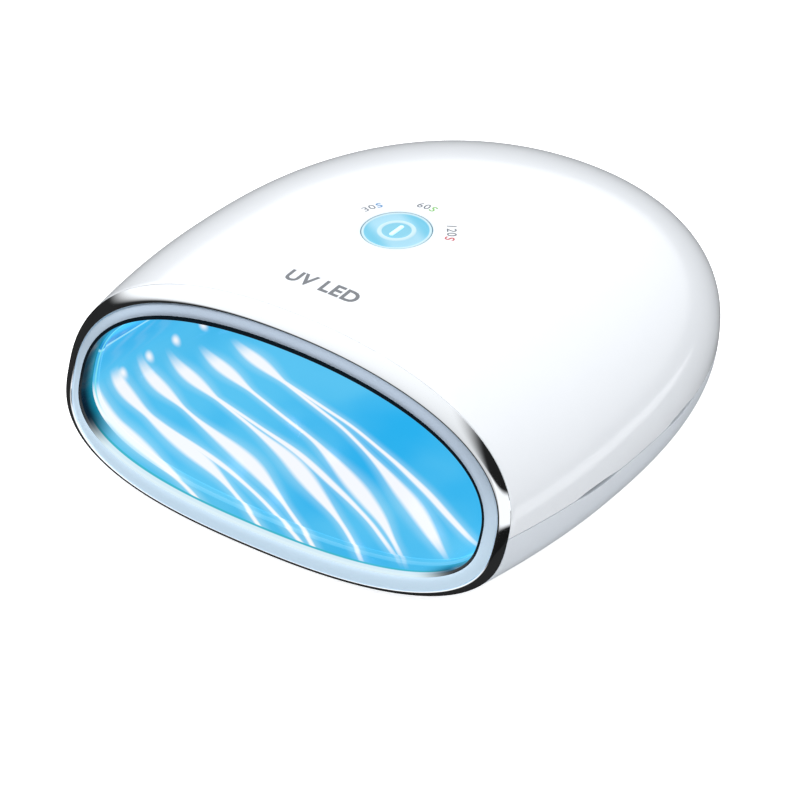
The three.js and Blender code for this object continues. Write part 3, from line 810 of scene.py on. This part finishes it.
def seam_shade():
    """Dark strip inside the wall, standing in as painted shade, which shows through the seam and its slots.
    """
    inset = SKIN + 0.4

    def inner_profile(along):
        half, level, up, down = body_profile(along)
        return np.maximum(half - inset, 0), level, np.maximum(up - inset, 0), np.maximum(down - inset, 0)

    along, points = lofted_skin(inner_profile, HOOD_FRONT, DEPTH - 2 * inset)
    strip = new_object("seam_shade", points, grid_faces(len(along), ROUND))
    cut(strip, SEAM - 3.0, keep_above=True)
    cut(strip, SEAM + 3.0, keep_above=False)
    thicken(strip, 0.4)
    return strip


def sole():
    """Level slab under the tray, with rounded corners."""
    corner = SOLE["corner"]
    side, front, back = SOLE["half_width"] - corner, SOLE["front"] + corner, SOLE["back"] - corner
    outline = []
    for quarter, (x, y) in enumerate(((side, back), (-side, back), (-side, front), (side, front))):
        for angle in np.linspace(0, math.pi / 2, 25) + quarter * math.pi / 2:
            outline.append((x + corner * math.cos(angle), y + corner * math.sin(angle)))
    count = len(outline)
    points = [(x, y, z) for z in (0.0, SOLE["top"]) for x, y in outline]
    faces = grid_faces(2, count)
    faces.append(tuple(range(count)))
    faces.append(tuple(range(2 * count - 1, count - 1, -1)))
    return new_object("sole", points, faces)


def plug(name, x, y, z0, z1, radius, axis="z"):
    """Closed round bar, upright or along y, to add to a piece or cut out of it."""
    outline = [(0.0, z0), (radius, z0), (radius, z1), (0.0, z1)]
    return turned(name, outline, (x, y, 0) if axis == "z" else (x, 0, y), axis, steps=64)


def screw_column(x, y):
    """Solid bar inside the tray for a screw, its lower end within the wall."""
    column = plug("column", x, y, 0.0, COLUMN_TOP, COLUMN_RADIUS)
    for vertex in column.data.vertices:
        if vertex.co.z * 1000 < FOOT_STAND + 1:
            foot = skin_height(vertex.co.x * 1000, vertex.co.y * 1000 + Y_MID, under=True) + SKIN / 2
            vertex.co.z = (float(foot) + FOOT_STAND) * 0.001
    return column


def tray_skin():
    along, points = lofted_skin(body_profile, GAP, DEPTH)
    tray = new_object("tray_skin", points, grid_faces(len(along), ROUND))
    cut(tray, SEAM - GAP / 2, keep_above=False)
    open_slots(tray, -1)
    thicken(tray, SKIN, bevel=0.28, crease_degrees=55)
    combine(tray, sole(), "UNION")
    for x, y in FOOT_PLACES.values():
        combine(tray, plug("pocket", x, y, -1.0, FOOT_POCKET, FOOT_RADIUS + GAP), "DIFFERENCE")
    for x, y in SCREW_PLACES:
        combine(tray, screw_column(x, y), "UNION")
        combine(tray, plug("shaft", x, y, 10.0, COLUMN_TOP + 1, COLUMN_SHAFT), "DIFFERENCE")
        combine(tray, plug("counterbore", x, y, -5.0, COUNTERBORE_END, COUNTERBORE_RADIUS), "DIFFERENCE")
    combine(tray, plug("jack_bore", 0, JACK_Z, 190.0, 225.0, JACK_BORE, "y"), "DIFFERENCE")
    return tray


# ---------------- mouth rings


def chrome_roll():
    """Bright rolled edge: a bowed chamfer up to its crest, from which it drops to the band."""
    stand = round_mouth(*ROLL_STAND)
    insets, backs = [], []
    for part in np.linspace(0, 1, 21):
        insets.append(CREASE * ROLL_CREST * (1 - (1 - part) ** 1.5))
        backs.append(-stand * (1 - (1 - part) ** (1.5 * ROLL_SLOPE)))
    for angle in np.linspace(0, math.pi / 2, 9)[1:]:
        insets.append(CREASE * (ROLL_CREST + (1 - ROLL_CREST) * math.sin(angle)))
        backs.append(-stand + (stand - ROLL_FOOT) * (1 - math.cos(angle)))
    return hoop("chrome_roll", insets + [CREASE, CREASE * 0], backs + [0.2, 0.2])


def satin_band():
    """Pale metallic front face of the mouth, gently crowned."""
    outer, inner = CREASE + GAP * 0.4, MOUTH - TUNNEL_EDGE
    part = np.linspace(0, 1, 15)
    insets = [outer] + [outer + (inner - outer) * t for t in part] + [inner, outer]
    backs = [0.0] + [BAND_FRONT - 1.25 * math.sin(t * math.pi * 0.55) for t in part] + [0.6, 0.6]
    return hoop("satin_band", insets, backs, crease_degrees=60)


def tunnel_wall():
    """Rounded inner edge of the mouth and the short tunnel behind it, painted dark with shade."""
    insets, backs = [], []
    for angle in np.linspace(0, math.pi / 2, 9):
        insets.append(MOUTH - TUNNEL_EDGE * (1 - math.sin(angle)))
        backs.append(BAND_FRONT - 0.73 - 0.5 * math.cos(angle))
    end = LIP_FRONT - GAP
    for back, extra in ((0.5, 0.0), (2.5, 0.0), (end, 0.0), (end, -1.6), (0.7, -1.6)):
        insets.append(MOUTH + extra)
        backs.append(back)
    insets.append(MOUTH - TUNNEL_EDGE)
    backs.append(0.7)
    return hoop("tunnel_wall", insets, backs, crease_degrees=60)


def clear_lip():
    """Clear strip round the chamber, a little proud of the tunnel."""
    insets, backs = [], []
    middle = LIP_FRONT + LIP_DEPTH / 2
    for angle in np.linspace(-math.pi / 2, math.pi / 2, 13):
        insets.append(MOUTH + LIP_PROUD * max(0.15, math.cos(angle)) ** 0.5)
        backs.append(middle + LIP_DEPTH / 2 * math.sin(angle))
    insets += [MOUTH - 1.2, MOUTH - 1.2]
    backs += [LIP_FRONT + LIP_DEPTH, LIP_FRONT]
    return hoop("clear_lip", insets, backs)


# ---------------- curing chamber


def ceiling_frame(angle):
    """Matrix from a lamp board's own coordinates to lamp coordinates; +Z points out of the chamber."""
    profile = chamber_profile(BANK_ALONG, LINER_WALL + 0.1)

    def point(at):
        c, s = math.cos(at), math.sin(at)
        power = 2 / UPPER_ROUND
        x = profile[0] * math.copysign(abs(c) ** power, c)
        return float(x), float(profile[1] + profile[2] * abs(s) ** power)

    (x, z), (next_x, next_z) = point(angle), point(angle + 0.02)
    normal = Vector((next_z - z, 0, x - next_x)).normalized()
    across = Vector((0, 1, 0)).cross(normal).normalized()
    basis = Matrix((across, Vector((0, 1, 0)), normal)).transposed().to_4x4()
    basis.translation = Vector((x, float(leaned(BANK_ALONG, x, z)), z))
    return np.array(basis)


def moved(matrix, points):
    points = np.asarray(points, float)
    return points @ matrix[:3, :3].T + matrix[:3, 3]


def led_places():
    """Matrix, x, y and stand of each LED, in the order of the CAD nodes."""
    places = []
    for angle, width, stand in LAMP_BANKS:
        basis = ceiling_frame(angle)
        for across in (-0.27, 0.27):
            for back in (-0.28, 0.28):
                places.append((basis, across * width, back * BANK_DEPTH, stand))
    return places


def liner():
    """Hood and pan of the chamber, split at the joint, with holes for the LEDs."""
    halves = []
    for name, above in (("hood_liner", True), ("pan_liner", False)):
        along, points = lofted_skin(chamber_profile, HOOD_FRONT, CHAMBER_DEPTH, LINER_ROWS)
        half = new_object(name, points, grid_faces(len(along), ROUND))
        cut(half, LINER_JOINT + (GAP / 2 if above else -GAP / 2), keep_above=above)
        thicken(half, LINER_WALL, crease_degrees=55, offset=1)
        halves.append(half)
    for basis, x, y, _stand in led_places():
        outline = [(0.0, -12.0), (LED_RADIUS + 0.5, -12.0), (LED_RADIUS + 0.5, 6.0), (0.0, 6.0)]
        cutter = new_object("hole", moved(basis, round_points(outline, x, y, 32)), grid_faces(4, 32))
        combine(halves[0], cutter, "DIFFERENCE")
    return halves


def led_domes():
    """Domes, one for each curing LED."""
    domes = []
    for number, (basis, x, y, stand) in enumerate(led_places(), 1):
        top = stand - GAP
        barrel = top + LINER_WALL
        outline = [(0.0, top), (LED_RADIUS, top)]
        outline += [(LED_RADIUS, top - barrel + 0.6), (LED_RADIUS, top - barrel)]
        for angle in np.linspace(0.15, math.pi / 2, 9):
            outline.append((LED_RADIUS * math.cos(angle), top - barrel - LED_RADIUS * math.sin(angle)))
        points = moved(basis, round_points(outline, x, y, 32))
        domes.append(new_object(f"led_dome_{number}", points, grid_faces(len(outline), 32)))
        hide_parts(f"curing_led_{number}")
    return domes


# ---------------- button and legends


def follow_skin(obj):
    """Bends a level piece down with the shell, so that it lies flush with it."""
    plan = np.array([v.co[:2] for v in obj.data.vertices]) * 1000 + (0, Y_MID)
    drop = skin_height(plan[:, 0], plan[:, 1]) - BUTTON_Z
    for vertex, fall in zip(obj.data.vertices, drop):
        vertex.co.z += fall * 0.001


def button_face():
    """Push cap: a bright rim, a lit groove, a raised ring and a sunk middle."""
    radius = BUTTON_RADIUS
    stem, thick, stem_end = 3.0, 2.6 - CAP_SUNK, 9.8 - CAP_SUNK
    rim = (
        (1.0, -0.62), (0.99, -0.30), (0.98, -0.14), (0.955, -0.06), (0.935, -0.10), (0.915, -0.28),
        (0.89, -0.46), (0.84, -0.52), (0.60, -0.50), (0.56, -0.42), (0.535, -0.18), (0.515, -0.04),
        (0.485, 0.0), (0.455, -0.05), (0.435, -0.22), (0.41, -0.42), (0.33, -0.46), (0.0, -0.44),
    )
    relief = [(0.0, -stem_end), (stem, -stem_end), (stem, -thick)]
    relief += [(radius - 0.25, -thick), (radius, 0.2 - thick)]
    relief += [(radius * part, height) for part, height in rim]
    top = BUTTON_Z + BUTTON_PROUD
    cap = turned("button_face", relief, (0, BUTTON_Y, top), steps=128)
    follow_skin(cap)
    return cap


def button_bar():
    """Raised bar in the middle of the cap, along the lamp."""
    half_width, half_length = 0.85, 3.7
    base = BUTTON_Z + BUTTON_PROUD - 0.5
    rings = []
    for shrink, rise in ((0.0, 0.0), (0.0, 0.28), (0.12, 0.42), (0.35, 0.48)):
        for angle in np.linspace(0, 2 * math.pi, 40, endpoint=False):
            end = math.copysign(half_length - half_width, math.sin(angle))
            reach = half_width - shrink
            rings.append((reach * math.cos(angle), BUTTON_Y + end + reach * math.sin(angle), base + rise))
    faces = grid_faces(4, 40)
    faces.append(tuple(range(39, -1, -1)))
    faces.append(tuple(range(120, 160)))
    bar = new_object("button_bar", rings, faces)
    follow_skin(bar)
    return bar


def lettering(name, text, size, centre, heading, thickness):
    """Flat letters laid on the shell; `heading` is where their tops point, in degrees."""
    curve = bpy.data.curves.new(name, "FONT")
    curve.body = text
    curve.size = size
    curve.align_x = "CENTER"
    curve.align_y = "CENTER"
    curve.space_character = 1.08
    curve.resolution_u = 4
    curve.offset = thickness
    source = bpy.data.objects.new(name, curve)
    bpy.context.scene.collection.objects.link(source)
    bpy.context.view_layer.update()
    mesh = bpy.data.meshes.new_from_object(source.evaluated_get(bpy.context.evaluated_depsgraph_get()))
    bpy.data.objects.remove(source)
    flat = np.array([v.co[:2] for v in mesh.vertices])
    faces = [tuple(p.vertices) for p in mesh.polygons]
    up = np.array([math.cos(math.radians(heading)), math.sin(math.radians(heading))])
    right = np.array([up[1], -up[0]])
    plan = np.array(centre) + flat[:, :1] * right + flat[:, 1:] * up
    height = skin_height(plan[:, 0], plan[:, 1]) + 0.03
    letters = new_object(name, np.column_stack([plan, height]), faces)
    thicken(letters, 0.02)
    return letters


def round_button(radius, degrees):
    angle = math.radians(degrees)
    return radius * math.cos(angle), BUTTON_Y + radius * math.sin(angle)


def legends(ink, seconds_ink):
    """Timer numbers on an arc behind the button, each with a coloured S."""
    turn_per_mm = math.degrees(1 / LEGEND_RADIUS)
    for number, degrees in LEGENDS:
        start = degrees + 0.36 * LEGEND_SIZE * turn_per_mm
        after = start - (0.28 * len(number) + 0.26) * LEGEND_SIZE * turn_per_mm
        name = f"legend_{number}"
        parts = ((name, number, start, 0.03, ink), (name + "_s", "S", after, 0.09, seconds_ink[number]))
        for piece, letters, angle, thickness, look in parts:
            centre = round_button(LEGEND_RADIUS, angle)
            text = lettering(piece, letters, LEGEND_SIZE, centre, angle, thickness)
            finish(text, "housing", look)


# ---------------- back, feet and screws


def jack_socket():
    """Round socket nose with a chamfered mouth, in the tray's back."""
    outline = (
        (0.0, -8.0), (3.1, -8.0), (3.1, -0.5), (3.5, -0.05), (3.9, 0.0), (4.1, -0.2), (4.1, -7.0),
        (4.6, -7.2), (4.6, -16.8), (0.0, -16.8),
    )
    return turned("jack_socket", outline, (0, JACK_FACE, JACK_Z), "y", steps=64)


def rubber_foot(place_name, x, y):
    """Round pad with a rounded rim and three shallow grooves."""
    outline = [(0.0, 0.9), (FOOT_RADIUS, 0.9), (FOOT_RADIUS, -1.5)]
    for angle in np.linspace(0, math.pi / 2, 5)[1:]:
        outline.append((FOOT_RADIUS - 0.5 + 0.5 * math.cos(angle), -1.5 - 0.5 * math.sin(angle)))
    for ring in (4.6, 3.2, 1.8):
        outline += [(ring, -2.0), (ring - 0.1, -1.8), (ring - 0.4, -1.8), (ring - 0.5, -2.0)]
    outline.append((0.0, -2.0))
    foot = turned(f"foot_pad_{place_name}", outline, (x, y, 0))
    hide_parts(f"foot_{place_name}")
    return foot


def screw_head(number, x, y):
    """Pan head with a cross recess, up the counterbore."""
    shank = ((0.0, 38.0), (1.5, 38.0), (1.5, 16.7))
    head = ((3.0, 16.7), (3.0, 15.3), (2.6, 14.7), (1.8, 14.5), (0.0, 14.5))
    outline = shank + head
    screw = turned(f"screw_{number}", outline, (x, y, 0), steps=48)
    for quarter in (0, 1):
        long_side, short_side = 1.9, 0.42
        half = (long_side, short_side) if quarter else (short_side, long_side)
        corners = [(x + sx * half[0], y + sy * half[1], z) for z in (13.0, 15.6)
                   for sx, sy in ((-1, -1), (1, -1), (1, 1), (-1, 1))]
        faces = [(3, 2, 1, 0), (4, 5, 6, 7), (0, 1, 5, 4), (1, 2, 6, 5), (2, 3, 7, 6), (3, 0, 4, 7)]
        combine(screw, new_object("recess", corners, faces), "DIFFERENCE")
    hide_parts(f"housing_screw_{number}")
    return screw


# ---------------- assembly


def finish(obj, body, look):
    obj.data.materials.clear()
    obj.data.materials.append(look)
    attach(obj, body)


def build_housing():
    pieces = (
        (shell_skin(), "gloss_white", gloss_white(), "top_shell"),
        (tray_skin(), "tray_white", satin_white(), "lower_tray"),
        # the dark strip is painted shade inside the seam, in the same look as the black plastic parts
        (seam_shade(), "black_plastic", black_plastic(), None),
        (chrome_roll(), "ring_chrome", chrome(), "chrome_ring"),
        (satin_band(), "satin_silver", satin_silver(), "mouth_bezel"),
        # the tunnel is part of the satin silver bezel, painted with shade and the chamber's light
        (tunnel_wall(), "satin_silver", tunnel_shade_and_glow(), None),
        (clear_lip(), "clear_acrylic", clear_acrylic(), "mouth_lip"),
    )
    for piece, slot, look, node in pieces:
        finish(piece, "housing", look)
        if node:
            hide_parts(node)


def build_chamber():
    look = reflector()
    for half, node in zip(liner(), ("reflector_hood", "reflector_pan")):
        finish(half, "housing", look)
        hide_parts(node)
    lens = led_lens()
    for dome in led_domes():
        finish(dome, "housing", lens)


def build_button():
    cap = button_face()
    finish(cap, "button", button_blue())
    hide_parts("button_cap")
    bar = button_bar()
    finish(bar, "button", lit("button_bar", linear(176, 216, 228), 0.8))
    ink = material("grey_ink", linear(105, 110, 118), 0.5, tint=0.05)[0]
    seconds_ink = {
        "30": material("blue_ink", linear(84, 140, 190), 0.5)[0],
        "60": material("green_ink", linear(130, 190, 100), 0.5)[0],
        "120": material("red_ink", linear(200, 90, 95), 0.5)[0],
    }
    legends(ink, seconds_ink)
    mark_y, _mark_z = crown_point(MARK_ALONG)
    mark = lettering("mark_uv_led", "UV LED", MARK_SIZE, (0, mark_y), 90, 0.26)
    mark_ink = material("mark_ink", linear(112, 115, 120), 0.45, tint=0.05)[0]
    finish(mark, "housing", mark_ink)


def build_underside():
    socket = jack_socket()
    finish(socket, "housing", black_plastic())
    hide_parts("power_jack")
    pad = rubber()
    for place_name, (x, y) in FOOT_PLACES.items():
        finish(rubber_foot(place_name, x, y), "housing", pad)
    bright = steel()
    for number, (x, y) in enumerate(SCREW_PLACES, 1):
        finish(screw_head(number, x, y), "housing", bright)


def dress_cad_nodes():
    """Materials of the CAD nodes that keep their own shape, by the start of their names."""
    looks = (
        (("button_guide",), inner_plastic()),
        (("button_spring", "board_screw", "power_jack_pin"), steel()),
        (("tactile_switch",), black_plastic()),
        (("control_board", "led_board"), board_green()),
        (("indicator_led",), led_lens()),
        (("power_lead", "lamp_lead"), lead_sheath()),
        (("heat_spreader",), aluminium()),
    )
    for name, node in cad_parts.items():
        for starts, look in looks:
            if name.startswith(starts):
                node.data.materials.clear()
                node.data.materials.append(look)


# ---------------- studio

CAMERA_AZIMUTH = 36.63
CAMERA_ELEVATION = 32.34
CAMERA_ROLL = -0.4
CAMERA_DISTANCE = 1.266
CAMERA_TARGET = Vector((-0.00903, -0.00791, 0.00497))
CAMERA_LENS = 159.86


def camera():
    data = bpy.data.cameras.new("camera")
    data.lens = CAMERA_LENS
    data.sensor_width = 36
    data.clip_start = 0.05
    data.clip_end = 50
    made = bpy.data.objects.new("camera", data)
    bpy.context.scene.collection.objects.link(made)
    azimuth, elevation = math.radians(CAMERA_AZIMUTH), math.radians(CAMERA_ELEVATION)
    flat = math.cos(elevation)
    back = Vector((math.sin(azimuth) * flat, -math.cos(azimuth) * flat, math.sin(elevation)))
    right = Vector((math.cos(azimuth), math.sin(azimuth), 0))
    up = back.cross(right)
    roll = math.radians(CAMERA_ROLL)
    across = right * math.cos(roll) + up * math.sin(roll)
    upright = up * math.cos(roll) - right * math.sin(roll)
    turn = Matrix((across, upright, back)).transposed().to_4x4()
    turn.translation = CAMERA_TARGET + back * CAMERA_DISTANCE
    made.matrix_world = turn
    bpy.context.scene.camera = made


def area_light(name, place_at, aim, size, power, colour=(1, 1, 1)):
    data = bpy.data.lights.new(name, "AREA")
    data.shape = "RECTANGLE"
    data.size, data.size_y = size
    data.energy = power
    data.color = colour
    made = bpy.data.objects.new(name, data)
    made.location = place_at
    made.rotation_mode = "QUATERNION"
    made.rotation_quaternion = (Vector(place_at) - Vector(aim)).to_track_quat("Z", "Y")
    bpy.context.scene.collection.objects.link(made)


def studio_world():
    """Dome that is brightest above and to the left, over a dark band at the horizon.

    At the front right stands a low bright window with a black flag above it, for the chrome.
    """
    world = bpy.data.worlds.new("studio")
    world.use_nodes = True
    tree = world.node_tree
    background = tree.nodes["Background"]
    x, y, z = position(tree, "Generated")
    towards_key = x * -0.45 + y * 0.12 + z * 0.80
    level = towards_key.ease(-0.4, 0.7, 0.42, 1.25) * z.ease(0.06, 0.17, 0.02, 1.0)
    front_right = x.ease(0.0, 0.20) * (y * -1).ease(0.3, 0.5)
    flag = z.ease(0.27, 0.31) * z.ease(0.74, 0.60) * front_right
    window = z.ease(0.06, 0.10) * z.ease(0.31, 0.27) * front_right
    level = (level * (flag * -0.98 + 1)).larger(window * 1.1)
    tree.links.new(level.socket, background.inputs["Strength"])
    background.inputs["Color"].default_value = (0.97, 0.985, 1.0, 1)
    bpy.context.scene.world = world


def stage_piece(name, points, faces, shade_of_grey, glow, seen_by):
    """Plain piece of the studio that takes part only in the kinds of ray named by `seen_by`."""
    made = new_object(name, points, faces)
    light = {"Emission_Color": (1, 1, 1, 1), "Emission_Strength": glow, "Specular_IOR_Level": 0.0}
    look = material(name, (shade_of_grey,) * 3, 0.9, tint=0.01, cells=5, **light)[0]
    made.data.materials.append(look)
    made.visible_camera = "camera" in seen_by
    made.visible_diffuse = "diffuse" in seen_by
    made.visible_glossy = "glossy" in seen_by
    made.visible_shadow = False


def level_sheet(name, height, shade_of_grey, glow, seen_by, width=FLOOR_SPAN, length=FLOOR_SPAN):
    count = 8
    points = [(x, y, height) for y in np.linspace(*length, count + 1) for x in np.linspace(*width, count + 1)]
    faces = grid_faces(count + 1, count + 1, closed_columns=False)
    stage_piece(name, points, faces, shade_of_grey, glow, seen_by)


def backdrop():
    """White wall all round at the edge of the floor, for low cameras."""
    count = 48
    radius = FLOOR_SPAN[1] * 0.98
    turns = np.linspace(0, 2 * math.pi, count, endpoint=False)
    ring = [(radius * math.cos(turn), radius * math.sin(turn)) for turn in turns]
    points = [(x, y, height) for height in (-FOOT_STAND - 20.0, WALL_HEIGHT) for x, y in ring]
    stage_piece("backdrop", points, grid_faces(2, count), 0.9, 0.72, ("camera",))


def floor():
    """White floor as seen, the light it throws back, and two cards for the chrome to reflect."""
    level_sheet("floor", -FOOT_STAND - 0.05, 0.9, 0.72, ("camera",))
    level_sheet("floor_bounce", -FOOT_STAND - 0.3, 0.85, 0.0, ("diffuse",))
    level_sheet("floor_card", -FOOT_STAND - 0.2, 0.02, 0.0, ("glossy",))
    level_sheet("side_card", -FOOT_STAND - 0.1, 0.9, 0.6, ("glossy",), (220.0, 700.0), (0.0, 500.0))


def studio():
    studio_world()
    floor()
    backdrop()
    area_light("overhead", (-0.15, 0.1, 0.95), (0, 0, 0.05), (0.9, 0.9), 2.2)
    area_light("right_side", (0.9, -0.2, 0.35), (0, 0, 0.05), (0.5, 0.35), 0.5, (0.93, 0.96, 1.0))
    scene = bpy.context.scene
    scene.view_settings.view_transform = "Standard"


camera()
build_housing()
build_chamber()
build_button()
build_underside()
dress_cad_nodes()
studio()
